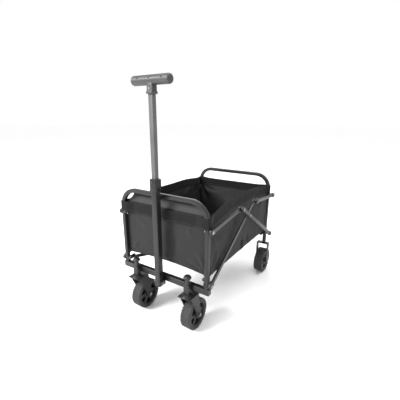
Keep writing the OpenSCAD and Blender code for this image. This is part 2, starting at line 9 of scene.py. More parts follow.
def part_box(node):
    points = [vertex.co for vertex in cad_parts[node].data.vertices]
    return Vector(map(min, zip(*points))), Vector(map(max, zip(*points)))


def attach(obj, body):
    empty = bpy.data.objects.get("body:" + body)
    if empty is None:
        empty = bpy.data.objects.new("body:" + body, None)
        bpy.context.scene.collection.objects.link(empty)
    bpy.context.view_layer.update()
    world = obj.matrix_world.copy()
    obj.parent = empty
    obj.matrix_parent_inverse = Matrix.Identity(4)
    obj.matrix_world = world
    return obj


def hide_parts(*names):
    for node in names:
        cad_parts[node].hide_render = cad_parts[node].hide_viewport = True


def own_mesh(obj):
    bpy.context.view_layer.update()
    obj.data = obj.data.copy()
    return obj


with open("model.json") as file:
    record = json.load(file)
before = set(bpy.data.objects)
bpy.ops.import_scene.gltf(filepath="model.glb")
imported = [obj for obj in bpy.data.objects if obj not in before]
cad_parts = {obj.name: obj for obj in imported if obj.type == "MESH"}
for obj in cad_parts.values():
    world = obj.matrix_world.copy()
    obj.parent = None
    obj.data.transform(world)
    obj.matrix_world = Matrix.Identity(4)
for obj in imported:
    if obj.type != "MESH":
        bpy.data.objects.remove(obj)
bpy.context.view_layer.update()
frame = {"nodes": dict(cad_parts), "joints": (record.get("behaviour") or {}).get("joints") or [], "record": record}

scene = bpy.context.scene

# Places that the frame gives
frontLow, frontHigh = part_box("front_loop")
rearLow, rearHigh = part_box("rear_loop")
pivots = {j["name"]: Vector(j["pos_m"]) for j in frame["joints"] if "pos_m" in j}
frontY = (frontLow.y + frontHigh.y) / 2
rearY = (rearLow.y + rearHigh.y) / 2
middleY = (frontY + rearY) / 2
sides = {"left": -1, "right": 1}
endBodies = {"front": "front_frame", "rear": "rear_frame"}


def smooth(x):
    x = min(max(x, 0.0), 1.0)
    return x * x * (3 - 2 * x)


def mix(a, b, share):
    return a + (b - a) * share


def shadeSmooth(mesh):
    mesh.polygons.foreach_set("use_smooth", [True] * len(mesh.polygons))


print("stage: camera, light and floor")

cameraView = {
    "place": (0.6588, -1.0907, 0.8069),
    "turn": 32.48,  # degrees left of straight down the wagon
    "dip": 17.12,  # degrees below the horizon
    "roll": 0.33,
    "lens": 25.70,  # mm on a 36 mm sensor
    "shift": (0.0048, 0.0136),
}

studio = {
    "floorColor": (0.985, 0.985, 0.985),
    "floorRadius": 30.0,
    "skyStrength": 1.0,
    # name: place, aimed at, size in metres, watts
    "lamps": {
        "keyLamp": ((-1.5, -2.6, 2.3), (0.0, -0.1, 0.35), 1.3, 170),
        "topLamp": ((0.2, 0.1, 3.2), (0.0, 0.0, 0.3), 2.6, 55),
        "sideLamp": ((3.0, -0.9, 1.5), (0.0, 0.0, 0.4), 1.8, 3),
        "backLamp": ((-1.4, 2.8, 1.8), (0.0, 0.2, 0.4), 2.0, 14),
    },
}


def makeCamera(values):
    turn, dip = math.radians(values["turn"]), math.radians(values["dip"])
    aim = Vector((-math.sin(turn) * math.cos(dip), math.cos(turn) * math.cos(dip), -math.sin(dip)))
    data = bpy.data.cameras.new("wagonCamera")
    data.lens = values["lens"]
    data.sensor_width = 36
    data.shift_x, data.shift_y = values["shift"]
    camera = bpy.data.objects.new("wagonCamera", data)
    camera.rotation_mode = "QUATERNION"
    upright = aim.to_track_quat("-Z", "Y")
    roll = Matrix.Rotation(math.radians(values["roll"]), 3, "Z").to_quaternion()
    camera.rotation_quaternion = upright @ roll
    camera.location = values["place"]
    scene.collection.objects.link(camera)
    scene.camera = camera


def makeStage(values):
    world = bpy.data.worlds.new("softWhite")
    world.use_nodes = True
    sky = world.node_tree.nodes["Background"]
    sky.inputs["Color"].default_value = (1, 1, 1, 1)
    sky.inputs["Strength"].default_value = values["skyStrength"]
    scene.world = world
    for name, (place, target, size, watts) in values["lamps"].items():
        data = bpy.data.lights.new(name, "AREA")
        data.shape = "DISK"
        data.size = size
        data.energy = watts
        lamp = bpy.data.objects.new(name, data)
        lamp.location = place
        lamp.rotation_euler = (Vector(target) - Vector(place)).to_track_quat("-Z", "Y").to_euler()
        scene.collection.objects.link(lamp)
    mesh = bpy.data.meshes.new("studioFloor")
    shape = bmesh.new()
    bmesh.ops.create_circle(shape, cap_ends=True, radius=values["floorRadius"], segments=96)
    shape.to_mesh(mesh)
    shape.free()
    floor = bpy.data.objects.new("studioFloor", mesh)
    scene.collection.objects.link(floor)
    paper = bpy.data.materials.new("paleFloor")
    paper.use_nodes = True
    shader = paper.node_tree.nodes["Principled BSDF"]
    shader.inputs["Base Color"].default_value = (*values["floorColor"], 1)
    shader.inputs["Roughness"].default_value = 0.9
    floor.data.materials.append(paper)


makeCamera(cameraView)
makeStage(studio)
scene.view_settings.view_transform = "Standard"

print("stage: materials")


def startMaterial(name, roughness, metallic=0.0):
    material = bpy.data.materials.new(name)
    material.use_nodes = True
    nodes = material.node_tree.nodes
    shader = nodes["Principled BSDF"]
    shader.inputs["Roughness"].default_value = roughness
    shader.inputs["Metallic"].default_value = metallic
    return material, nodes, material.node_tree.links, shader


def wire(links, shader, **channels):
    for label, output in channels.items():
        links.new(output, shader.inputs[label.replace("_", " ")])


def coordinates(nodes, links, source="Object", scale=(1, 1, 1)):
    texture = nodes.new("ShaderNodeTexCoord")
    mapping = nodes.new("ShaderNodeMapping")
    mapping.inputs["Scale"].default_value = scale
    links.new(texture.outputs[source], mapping.inputs["Vector"])
    return mapping.outputs["Vector"]


def noiseNode(nodes, links, vector, scale, detail=3.0, roughness=0.5):
    node = nodes.new("ShaderNodeTexNoise")
    node.inputs["Scale"].default_value = scale
    node.inputs["Detail"].default_value = detail
    node.inputs["Roughness"].default_value = roughness
    links.new(vector, node.inputs["Vector"])
    return node.outputs["Fac"]


def rangeNode(nodes, links, value, low, high, toLow, toHigh):
    node = nodes.new("ShaderNodeMapRange")
    for socket, number in (("From Min", low), ("From Max", high), ("To Min", toLow), ("To Max", toHigh)):
        node.inputs[socket].default_value = number
    links.new(value, node.inputs["Value"])
    return node.outputs["Result"]


def mixColors(nodes, links, share, first, second):
    node = nodes.new("ShaderNodeMix")
    node.data_type = "RGBA"
    for socket, color in ((node.inputs[6], first), (node.inputs[7], second)):
        if isinstance(color, tuple):
            socket.default_value = (*color, 1)
        else:
            links.new(color, socket)
    links.new(share, node.inputs[0])
    return node.outputs[2]


def mathNode(nodes, links, operation, *values):
    node = nodes.new("ShaderNodeMath")
    node.operation = operation
    for index, value in enumerate(values):
        if isinstance(value, (int, float)):
            node.inputs[index].default_value = value
        else:
            links.new(value, node.inputs[index])
    return node.outputs[0]


def bumpNode(nodes, links, height, strength, distance, before=None):
    node = nodes.new("ShaderNodeBump")
    node.inputs["Strength"].default_value = strength
    node.inputs["Distance"].default_value = distance
    links.new(height, node.inputs["Height"])
    if before is not None:
        links.new(before, node.inputs["Normal"])
    return node.outputs["Normal"]


def tinted(color, factor):
    return tuple(min(channel * factor, 1.0) for channel in color)


def powderCoat(name, color, roughness=0.33):
    material, nodes, links, shader = startMaterial(name, roughness)
    shader.inputs["Specular IOR Level"].default_value = 0.30
    place = coordinates(nodes, links)
    clouds = noiseNode(nodes, links, place, 14, 4)
    shade = rangeNode(nodes, links, clouds, 0.3, 0.7, 0, 1)
    dust = rangeNode(nodes, links, noiseNode(nodes, links, place, 160, 5, 0.7), 0.56, 0.74, 0, 0.35)
    base = mixColors(nodes, links, shade, tinted(color, 0.9), tinted(color, 1.1))
    wire(links, shader, Base_Color=mixColors(nodes, links, dust, base, tinted(color, 1.6)),
         Roughness=rangeNode(nodes, links, clouds, 0.3, 0.7, roughness - 0.05, roughness + 0.07))
    peel = noiseNode(nodes, links, place, 620, 2)
    wire(links, shader, Normal=bumpNode(nodes, links, peel, 0.22, 0.0006))
    return material


def moldedPlastic(name, color, roughness=0.5, grain=900):
    material, nodes, links, shader = startMaterial(name, roughness)
    place = coordinates(nodes, links)
    clouds = noiseNode(nodes, links, place, 22, 4)
    shade = rangeNode(nodes, links, clouds, 0.3, 0.7, 0, 1)
    wire(links, shader, Base_Color=mixColors(nodes, links, shade, tinted(color, 0.86), tinted(color, 1.14)),
         Roughness=rangeNode(nodes, links, clouds, 0.3, 0.7, roughness - 0.04, roughness + 0.08))
    cells = nodes.new("ShaderNodeTexVoronoi")
    cells.inputs["Scale"].default_value = grain
    links.new(place, cells.inputs["Vector"])
    wire(links, shader, Normal=bumpNode(nodes, links, cells.outputs["Distance"], 0.25, 0.0004))
    return material


def zincSteel(name, color):
    roughness = 0.32
    material, nodes, links, shader = startMaterial(name, roughness, 1.0)
    place = coordinates(nodes, links)
    spangle = noiseNode(nodes, links, place, 120, 4)
    shade = rangeNode(nodes, links, spangle, 0.3, 0.7, 0, 1)
    wire(links, shader, Base_Color=mixColors(nodes, links, shade, tinted(color, 0.8), tinted(color, 1.15)),
         Roughness=rangeNode(nodes, links, spangle, 0.3, 0.7, roughness - 0.08, roughness + 0.12))
    scratches = noiseNode(nodes, links, coordinates(nodes, links, "Object", (1, 14, 14)), 260, 3)
    wire(links, shader, Normal=bumpNode(nodes, links, scratches, 0.15, 0.0003))
    return material


def tyreRubber(name, color):
    material, nodes, links, shader = startMaterial(name, 0.72)
    place = coordinates(nodes, links)
    dust = rangeNode(nodes, links, noiseNode(nodes, links, place, 46, 6, 0.65), 0.42, 0.72, 0, 1)
    wire(links, shader, Base_Color=mixColors(nodes, links, dust, color, tinted(color, 1.75)),
         Roughness=rangeNode(nodes, links, dust, 0, 1, 0.66, 0.86))
    grain = noiseNode(nodes, links, place, 800, 3)
    wire(links, shader, Normal=bumpNode(nodes, links, grain, 0.3, 0.0006))
    return material


def wovenCloth(name, color, roughness=0.82, pitch=0.0013, relief=0.5, sheen=0.06, gloss=0.2):
    material, nodes, links, shader = startMaterial(name, roughness)
    shader.inputs["Specular IOR Level"].default_value = gloss
    shader.inputs["Sheen Weight"].default_value = sheen
    shader.inputs["Sheen Roughness"].default_value = 0.45
    weave = nodes.new("ShaderNodeUVMap")
    weave.uv_map = "clothUV"
    split = nodes.new("ShaderNodeSeparateXYZ")
    links.new(weave.outputs["UV"], split.inputs["Vector"])
    turns = 2 * math.pi / pitch
    warp = mathNode(nodes, links, "SINE", mathNode(nodes, links, "MULTIPLY", split.outputs["X"], turns))
    weft = mathNode(nodes, links, "SINE", mathNode(nodes, links, "MULTIPLY", split.outputs["Y"], turns))
    thread = mathNode(nodes, links, "MULTIPLY", warp, weft)
    slubs = noiseNode(nodes, links, coordinates(nodes, links, "UV", (1, 9, 1)), 260, 3)
    place = coordinates(nodes, links)
    wear = rangeNode(nodes, links, noiseNode(nodes, links, place, 9, 5, 0.6), 0.3, 0.72, 0, 1)
    base = mixColors(nodes, links, wear, tinted(color, 0.88), tinted(color, 1.14))
    lit = rangeNode(nodes, links, thread, -1, 1, 0, 0.4)
    base = mixColors(nodes, links, lit, base, tinted(color, 1.35))
    streak = rangeNode(nodes, links, slubs, 0.5, 0.75, 0, 0.3)
    wire(links, shader, Base_Color=mixColors(nodes, links, streak, base, tinted(color, 1.5)),
         Roughness=rangeNode(nodes, links, wear, 0, 1, roughness - 0.06, roughness + 0.06))
    threads = bumpNode(nodes, links, thread, relief, 0.0003)
    puckers = noiseNode(nodes, links, place, 60, 3)
    wire(links, shader, Normal=bumpNode(nodes, links, puckers, 0.25, 0.002, threads))
    return material


colors = {
    "frame": (0.0125, 0.0127, 0.0133),
    "fork": (0.0110, 0.0112, 0.0117),
    "innerTube": (0.088, 0.089, 0.092),
    "zinc": (0.27, 0.27, 0.28),
    "blackPlastic": (0.012, 0.012, 0.013),
    "gripPlastic": (0.036, 0.0365, 0.038),
    "wheelPlastic": (0.011, 0.011, 0.012),
    "rubber": (0.026, 0.026, 0.027),
    "cloth": (0.0190, 0.0182, 0.0186),
    "hem": (0.0060, 0.0059, 0.0062),
    "lining": (0.0195, 0.0192, 0.0196),
    # lip: a lighter copy of the bag cloth, with painted light for the up-facing top of the front panel
    "lip": (0.0420, 0.0415, 0.0420),
    "thread": (0.022, 0.022, 0.023),
}

framePaint = powderCoat("framePaint", colors["frame"])
forkPaint = powderCoat("forkPaint", colors["fork"], 0.42)
innerPaint = powderCoat("innerTubePaint", colors["innerTube"], 0.34)
zinc = zincSteel("zincPlate", colors["zinc"])
blackPlastic = moldedPlastic("blackNylon", colors["blackPlastic"])
gripPlastic = moldedPlastic("gripPlastic", colors["gripPlastic"], 0.46)
wheelPlastic = moldedPlastic("wheelPlastic", colors["wheelPlastic"], 0.44, 600)
rubber = tyreRubber("tyreRubber", colors["rubber"])
clothOut = wovenCloth("bagCloth", colors["cloth"])
clothIn = wovenCloth("bagLining", colors["lining"], 0.66, 0.0013, 0.3, 0.03, 0.35)
hemCloth = wovenCloth("hemWebbing", colors["hem"], 0.86, 0.0019, 0.6, 0.05)
# Lighter copy of the bag cloth: painted light where the lip faces up towards the lamps
lipCloth = wovenCloth("lipCloth", colors["lip"])
threadNylon = moldedPlastic("nylonThread", colors["thread"], 0.55, 1500)

cadFinishes = {
    "tyre": rubber, "rim": wheelPlastic, "bag": clothOut,
    "handle_inner_tube": innerPaint,
    "front_pivot_pins": zinc, "rear_pivot_pins": zinc, "rear_axles": zinc, "caster_axle": zinc,
    "handle_pivot_bolt": zinc, "grip_screws": zinc, "grip": gripPlastic,
    "front_diagonal_caps": blackPlastic, "rear_diagonal_caps": blackPlastic,
    "caster_stem": blackPlastic, "handle_foot_plug": blackPlastic, "handle_collar": framePaint,
    "collar_button": blackPlastic, "handle_glide": blackPlastic,
    "caster_fork": forkPaint, "rear_forks": forkPaint,
}

for name, node in frame["nodes"].items():
    keys = [key for key in cadFinishes if name.startswith(key)]
    finish = cadFinishes[max(keys, key=len)] if keys else framePaint
    node.data.materials.clear()
    node.data.materials.append(finish)

print("stage: bag")

# Metres. Depths run inward from the outer face of the side cloth
bag = {
    "thickness": 0.0013,
    "outerX": 0.2076,
    "endGap": 0.0095,  # from a post's centre line to the end cloth
    "endTop": 0.4815,
    "sideTop": 0.4975,
    "lowFront": 0.2485,  # bottom edge at the front corners
    "lowRear": 0.2385,
    "endLift": 0.0100,  # how far an end's bottom edge arches up
    "sideLift": 0.0030,
    "bottomRise": 0.016,  # height, width and depth of the rounded bottom edge
    "sideRound": 0.020,
    "endRound": 0.008,
    "bow": 0.021,  # how far the open top edge leans in
    "tuck": 0.0150,  # pleat beside each post
    "tuckHeight": 0.4240,
    "tuckWidth": 0.017,  # up and down
    "tuckHang": 0.0055,  # what is left of the pleat below it
    "pleatReach": 0.024,  # along the side
    "bowFoot": 0.284,  # height where the lean starts
    "belly": 0.0045,
    "bellyTop": 0.454,
    "sideBelly": 0.0052,
    "reliefLimit": 0.0050,
    "edgeReach": 0.035,  # how far in from a seam the cloth is free to move
    "topReach": 0.05,
    "footGap": 0.012,
    "ripple": 0.0026,
    "creaseScale": 1.7,
    "restOn": 0.2340,  # where the floor lies on the struts
    "restShare": 0.92,
    "restReach": 0.10,
    "floorWaves": 0.6,
    "floorDip": 0.0012,
    "hemDrop": 0.040,
    "hemCover": 0.0009,
    "hemThickness": 0.0007,
}

# Ridges (+) and valleys (-): start, end, half width, height. Places are x and z on an end, and
# y from the middle and z on a side
creases = {
    "front": [
        ((0.186, 0.254), (0.105, 0.306), 0.0055, 0.0042), ((0.186, 0.26), (0.14, 0.352), 0.006, 0.0032),
        ((0.18, 0.256), (0.07, 0.282), 0.005, -0.003), ((0.176, 0.258), (0.12, 0.29), 0.004, -0.0026),
        ((-0.186, 0.26), (-0.105, 0.284), 0.005, 0.0042), ((-0.186, 0.272), (-0.13, 0.326), 0.006, 0.0026),
        ((0.038, 0.279), (0.03, 0.424), 0.011, -0.0034), ((-0.15, 0.424), (-0.06, 0.394), 0.007, 0.0018),
        ((0.11, 0.432), (0.15, 0.379), 0.007, 0.002), ((-0.02, 0.264), (0.02, 0.306), 0.005, 0.0018),
    ],
    "rear": [
        ((-0.186, 0.459), (-0.118, 0.379), 0.006, -0.0046), ((-0.186, 0.454), (-0.16, 0.304), 0.006, -0.004),
        ((-0.18, 0.446), (-0.138, 0.342), 0.0045, 0.0034), ((-0.184, 0.442), (-0.07, 0.416), 0.006, 0.0024),
        ((0.186, 0.449), (0.11, 0.374), 0.007, -0.0036), ((0.186, 0.424), (0.16, 0.304), 0.006, 0.0026),
        ((-0.18, 0.254), (-0.09, 0.294), 0.006, 0.003), ((0.18, 0.254), (0.1, 0.299), 0.006, 0.003),
        ((-0.04, 0.284), (-0.02, 0.394), 0.012, -0.0028), ((0.06, 0.274), (0.05, 0.374), 0.011, 0.0022),
    ],
    "side": [
        ((-0.282, 0.256), (-0.187, 0.306), 0.006, 0.0036), ((-0.282, 0.264), (-0.222, 0.354), 0.006, 0.0026),
        ((-0.278, 0.254), (-0.162, 0.279), 0.005, -0.0026),
        ((-0.282, 0.422), (-0.162, 0.384), 0.008, -0.0034),
        ((-0.272, 0.404), (-0.197, 0.339), 0.007, 0.0024), ((-0.102, 0.454), (-0.042, 0.384), 0.009, -0.0026),
        ((-0.042, 0.246), (0.008, 0.299), 0.006, 0.0026), ((0.028, 0.246), (0.048, 0.326), 0.008, -0.0028),
        ((0.283, 0.25), (0.193, 0.302), 0.006, 0.0036), ((0.283, 0.259), (0.233, 0.354), 0.007, -0.0026),
        ((0.28, 0.424), (0.178, 0.379), 0.008, 0.003), ((0.168, 0.454), (0.098, 0.374), 0.01, -0.003),
        ((0.118, 0.246), (0.153, 0.304), 0.006, 0.0024),
    ],
}

# Post line, way into the bag, bottom edge
endPlanes = {"front": (frontY, 1, bag["lowFront"]), "rear": (rearY, -1, bag["lowRear"])}
endSeeds = {"front": 11.0, "rear": 17.0}
bandSeeds = {"front": 41.0, "rear": 61.0}


def creaseHeight(folds, a, b):
    total = 0.0
    for (a0, b0), (a1, b1), width, height in folds:
        length = math.hypot(a1 - a0, b1 - b0)
        along = ((a - a0) * (a1 - a0) + (b - b0) * (b1 - b0)) / length ** 2
        across = ((a - a0) * (b1 - b0) - (b - b0) * (a1 - a0)) / length
        across -= 0.10 * length * math.sin(math.pi * min(max(along, 0), 1))  # a fold is never straight
        fade = smooth(along / 0.25) * smooth((1 - along) / 0.55)
        spread = width * (1 + 1.2 * min(max(along, 0), 1))
        total += bag["creaseScale"] * height * fade * math.exp(-(across / spread) ** 2)
    return total


def ripple(a, b, seed):
    wide = noise.noise(Vector((a * 9, b * 13, seed)))
    fine = noise.noise(Vector((a * 30, b * 26, seed + 7.3)))
    return bag["ripple"] * (wide + 0.35 * fine)


def bottomProfile(share, low, top):
    # Share of the rounding that is left, and the height
    radius = bag["bottomRise"]
    arc = radius * math.pi / 2
    run = share * (arc + top - low - radius)
    if run < arc:
        return 1 - math.sin(run / radius), low + radius * (1 - math.cos(run / radius))
    return 0.0, low + radius + run - arc


def tuckDepth(z):
    pinch = math.exp(-((z - bag["tuckHeight"]) / bag["tuckWidth"]) ** 2)
    hang = smooth((bag["tuckHeight"] - z) / 0.05) * smooth((z - bag["lowRear"] - 0.03) / 0.08)
    return bag["tuck"] * pinch + bag["tuckHang"] * hang


def edgeFade(distance, reach=bag["edgeReach"]):
    return smooth(distance / reach)


sideStart, sideEnd = frontY + bag["endGap"], rearY - bag["endGap"]


def sideLow(share):
    return mix(bag["lowFront"], bag["lowRear"], share) + bag["sideLift"] * math.sin(math.pi * share)


def sideHigh(share):
    gap = min(share, 1 - share) * (sideEnd - sideStart)
    return mix(bag["endTop"], bag["sideTop"], smooth(gap / 0.20))


def sideDepth(y, z, side):
    share = (y - sideStart) / (sideEnd - sideStart)
    gap = min(y - sideStart, sideEnd - y)
    lean = bag["bow"] * math.sin(math.pi * min(max(share, 0), 1)) ** 0.75
    lean *= smooth((z - bag["bowFoot"]) / (bag["sideTop"] - bag["bowFoot"])) ** 1.25
    pleat = tuckDepth(z) * math.exp(-(gap / bag["pleatReach"]) ** 2)
    free = edgeFade(gap) * edgeFade(z - bag["lowRear"] - bag["footGap"])
    relief = creaseHeight(creases["side"], y - middleY, z) + ripple(y, z, 3.1 + 20 * side)
    return lean + pleat + free * (bag["sideBelly"] - min(relief, bag["reliefLimit"]))


def sidePoint(share, rise, side):
    fall, z = bottomProfile(rise, sideLow(share), sideHigh(share))
    y = mix(sideStart + fall * bag["endRound"], sideEnd - fall * bag["endRound"], share)
    return Vector((side * (bag["outerX"] - fall * bag["sideRound"] - sideDepth(y, z, side)), y, z))


def endLow(across, low):
    return low + bag["endLift"] * (1 - across * across) * (1 + 0.15 * across)


def endPoint(share, rise, end):
    plane, inward, low = endPlanes[end]
    across = 2 * share - 1
    fall, z = bottomProfile(rise, endLow(across, low), bag["endTop"])
    half = bag["outerX"] - fall * bag["sideRound"] - tuckDepth(z)
    x = across * half
    free = edgeFade(half - abs(x)) * edgeFade(z - low - bag["footGap"])
    free *= edgeFade(bag["endTop"] - z, bag["topReach"])
    swell = bag["belly"] * math.cos(across * math.pi / 2) * smooth((bag["bellyTop"] - z) / 0.15)
    relief = creaseHeight(creases[end], x, z) + ripple(x, z, endSeeds[end])
    back = bag["endGap"] + fall * bag["endRound"] - free * (swell + relief)
    return Vector((x, plane + inward * back, z))


def floorPoint(share, rise):
    across = 2 * share - 1
    half = bag["outerX"] - bag["sideRound"]
    floorStart, floorEnd = sideStart + bag["endRound"], sideEnd - bag["endRound"]
    y = mix(floorStart, floorEnd, rise)
    front, rear = endLow(across, bag["lowFront"]), endLow(across, bag["lowRear"])
    flank = sideLow(rise)
    corners = mix(bag["lowFront"], bag["lowRear"], rise)
    edge = mix(front, rear, rise) + flank - corners
    gap = min(half * (1 - abs(across)), y - floorStart, floorEnd - y)
    z = mix(edge, bag["restOn"], bag["restShare"] * smooth(gap / bag["restReach"]))
    waves = bag["floorWaves"] * max(ripple(across * half, y, 29.0), -bag["floorDip"])
    return Vector((across * half, y, z + edgeFade(gap) * waves))


def gridMesh(name, place, columns, rows, flat, outward):
    points = [place(i / columns, j / rows) for j in range(rows + 1) for i in range(columns + 1)]
    row = columns + 1
    faces = [(j * row + i, j * row + i + 1, (j + 1) * row + i + 1, (j + 1) * row + i)
             for j in range(rows) for i in range(columns)]
    a, b, c, d = (points[k] for k in faces[len(faces) // 2 + columns // 2])
    if (c - a).cross(d - b).dot(Vector(outward)) < 0:
        faces = [face[::-1] for face in faces]
    mesh = bpy.data.meshes.new(name)
    mesh.from_pydata(points, [], faces)
    layer = mesh.uv_layers.new(name="clothUV")
    for loop in mesh.loops:
        j, i = divmod(loop.vertex_index, row)
        layer.data[loop.index].uv = (i / columns * flat[0], j / rows * flat[1])
    shadeSmooth(mesh)
    return mesh


def addObject(name, mesh, *finishes):
    item = bpy.data.objects.new(name, mesh)
    scene.collection.objects.link(item)
    if finishes:
        mesh.materials.clear()
        for finish in finishes:
            mesh.materials.append(finish)
    return item


def clothSheet(name, place, grid, outward, finishes, thickness):
    columns, rows = grid
    rough = [[place(i / columns, j / rows) for i in range(columns + 1)] for j in range(rows + 1)]
    across = [sum((b - a).length for a, b in zip(line, line[1:])) for line in rough]
    along = [sum((b - a).length for a, b in zip(line, line[1:])) for line in zip(*rough)]
    flat = (max(across), max(along))
    mesh = gridMesh(name, place, columns, rows, flat, outward)
    item = addObject(name, mesh, *finishes)
    solid = item.modifiers.new("clothThickness", "SOLIDIFY")
    solid.thickness = thickness
    solid.offset = -1
    solid.material_offset = 1 if len(finishes) > 1 else 0
    solid.use_even_offset = False
    print("sheet", name, "flat", round(flat[0], 3), "x", round(flat[1], 3))
    return item


def followFold(item):
    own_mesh(item)
    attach(item, "front_frame")


for end, body in endBodies.items():
    outward = (0, -endPlanes[end][1], 0)
    panel = clothSheet("bag" + end.title() + "Panel", lambda u, v, end=end: endPoint(u, v, end),
                       (96, 64), outward, (clothOut, clothIn), bag["thickness"])
    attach(panel, body)
    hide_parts("bag_" + end)

for sideName, side in sides.items():
    panel = clothSheet("bagSide" + sideName.title(), lambda u, v, side=side: sidePoint(u, v, side),
                       (132, 64), (side, 0, 0), (clothOut, clothIn), bag["thickness"])
    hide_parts("bag_" + sideName)
    followFold(panel)

# The floor folds up in two halves, each lying on its struts
for end, start, body in (("Front", 0.0, "floor_strut_front"), ("Rear", 0.5, "floor_strut_rear_right")):
    panel = clothSheet("bagFloor" + end, lambda u, v, start=start: floorPoint(u, start + 0.5 * v),
                       (56, 44), (0, 0, -1), (clothOut, clothIn), bag["thickness"])
    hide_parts("bag_floor")
    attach(panel, body)

# Hem bands, bindings and the front lip
hems = {
    "bandTop": 0.4815,
    "bandLow": 0.4395,
    "bandSag": 0.0020,
    "bandWave": 0.0011,
    "bandSwell": 0.0008,
    "bandX": 0.2095,
    "bandFront": 0.0094,  # outer face of a band, out from a post's centre line
    "bandBack": 0.0125,  # how far a band laps onto the side cloth
    "bandDip": 0.0125,  # how far it lies back between the posts
    "bendRadius": 0.0032,
    "lipLow": 0.4780,
    "lipHigh": 0.5105,
    "lipLean": 0.0155,
    "lipHalfLow": 0.187,
    "lipHalfHigh": 0.165,
    "lipInset": 0.0008,
    "lipCurl": 0.0022,
    "lipWave": 0.0012,
    "lipSag": 0.0015,
    "steps": 150,  # along a band
}


def evenPath(points, count):
    lengths = [0.0]
    for a, b in zip(points, points[1:]):
        lengths.append(lengths[-1] + (b - a).length)
    result, k = [], 0
    for i in range(count + 1):
        want = lengths[-1] * i / count
        while k < len(points) - 2 and lengths[k + 1] < want:
            k += 1
        span = max(lengths[k + 1] - lengths[k], 1e-9)
        result.append(points[k].lerp(points[k + 1], min(max((want - lengths[k]) / span, 0), 1)))
    return result


def bandPath(end):
    plane, inward = endPlanes[end][:2]
    bend = hems["bendRadius"]
    half = [Vector((hems["bandX"], y, 0)) for y in (hems["bandBack"], bend - hems["bandFront"])]
    for step in range(1, 7):
        angle = math.radians(15 * step)
        half.append(Vector((hems["bandX"] - bend * (1 - math.cos(angle)),
                            bend - hems["bandFront"] - bend * math.sin(angle), 0)))
    for step in range(1, 60):
        x = mix(hems["bandX"] - bend, 0, step / 59)
        half.append(Vector((x, hems["bandDip"] * smooth((0.189 - x) / 0.045) - hems["bandFront"], 0)))
    full = half + [Vector((-p.x, p.y, 0)) for p in reversed(half[:-1])]
    return evenPath([Vector((p.x, plane + inward * p.y, 0)) for p in full], hems["steps"])


def bandPoint(path, share, rise, end):
    here = path[min(int(round(share * hems["steps"])), hems["steps"])]
    sag = hems["bandSag"] * (1 - (here.x / hems["bandX"]) ** 2)
    z = mix(hems["bandLow"], hems["bandTop"], rise) - sag
    free = edgeFade(0.186 - abs(here.x), 0.03)
    wave = hems["bandWave"] * noise.noise(Vector((here.x * 16, z * 20, bandSeeds[end])))
    wave += hems["bandSwell"] * math.sin(math.pi * rise)
    return Vector((here.x, here.y - free * wave * endPlanes[end][1], z))


for end, body in endBodies.items():
    path = bandPath(end)
    outward = (0, -endPlanes[end][1], 0)
    band = clothSheet(end + "HemBand", lambda u, v: bandPoint(path, u, v, end), (hems["steps"], 10),
                      outward, (hemCloth,), bag["hemThickness"])
    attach(band, body)


def lipPoint(share, rise):
    across = 2 * share - 1
    x = across * mix(hems["lipHalfLow"], hems["lipHalfHigh"], rise)
    y = frontY + bag["endGap"] - hems["lipInset"] + hems["lipLean"] * rise
    y += hems["lipCurl"] * math.sin(math.pi * rise)
    y += hems["lipWave"] * noise.noise(Vector((x * 14, rise * 2, 71.0))) * rise
    z = mix(hems["lipLow"], hems["lipHigh"], rise)
    z -= hems["lipSag"] * math.cos(across * math.pi / 2) * (1 - rise)
    return Vector((x, y, z))


lip = clothSheet("frontLip", lipPoint, (90, 12), (0, -1, 0.4), (lipCloth, clothIn), bag["thickness"])
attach(lip, "front_frame")


def bindingPoint(share, rise, side):
    # Up the outside, over the raw edge and down the inside. A leg: share of the way, height, depth
    drop, cover = bag["hemDrop"], bag["hemCover"]
    y = mix(sideStart + 0.001, sideEnd - 0.001, share)
    top = sideHigh(share)
    legs = [(0.0, -drop, -cover), (0.44, -0.0005, -cover), (0.5, cover, bag["thickness"] / 2),
            (0.56, -0.0005, bag["thickness"] + cover), (1.0, -drop, bag["thickness"] + cover)]
    for (s0, h0, d0), (s1, h1, d1) in zip(legs, legs[1:]):
        if rise <= s1 + 1e-9:
            part = (rise - s0) / (s1 - s0)
            height, offset = mix(h0, h1, part), mix(d0, d1, part)
            break
    z = top + height
    depth = sideDepth(y, min(z, top), side)
    return Vector((side * (bag["outerX"] - depth - offset), y, z))


for sideName, side in sides.items():
    binding = clothSheet("sideHem" + sideName.title(), lambda u, v, side=side: bindingPoint(u, v, side),
                         (132, 50), (side, 0, 0), (hemCloth,), bag["hemThickness"])
    followFold(binding)


def insideHemPoint(share, rise, end):
    plane, inward = endPlanes[end][:2]
    z = bag["endTop"] + 0.0004 - bag["hemDrop"] * (1 - rise)
    x = (2 * share - 1) * (bag["outerX"] - tuckDepth(z) - 0.004)
    free = edgeFade(bag["outerX"] - tuckDepth(z) - abs(x)) * edgeFade(bag["endTop"] - z, bag["topReach"])
    relief = creaseHeight(creases[end], x, z) + ripple(x, z, endSeeds[end])
    back = bag["endGap"] + bag["thickness"] + bag["hemCover"] - free * relief
    return Vector((x, plane + inward * back, z))


for end, body in endBodies.items():
    inner = (0, endPlanes[end][1], 0)
    hem = clothSheet(end + "InsideHem", lambda u, v, end=end: insideHemPoint(u, v, end), (96, 16),
                     inner, (hemCloth,), bag["hemThickness"])
    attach(hem, body)

# Piping closes the seams where two cloths meet
piping = {"radius": 0.0014, "rings": 8, "inset": 0.0006, "lift": 0.0004, "endSteps": 60, "sideSteps": 80}


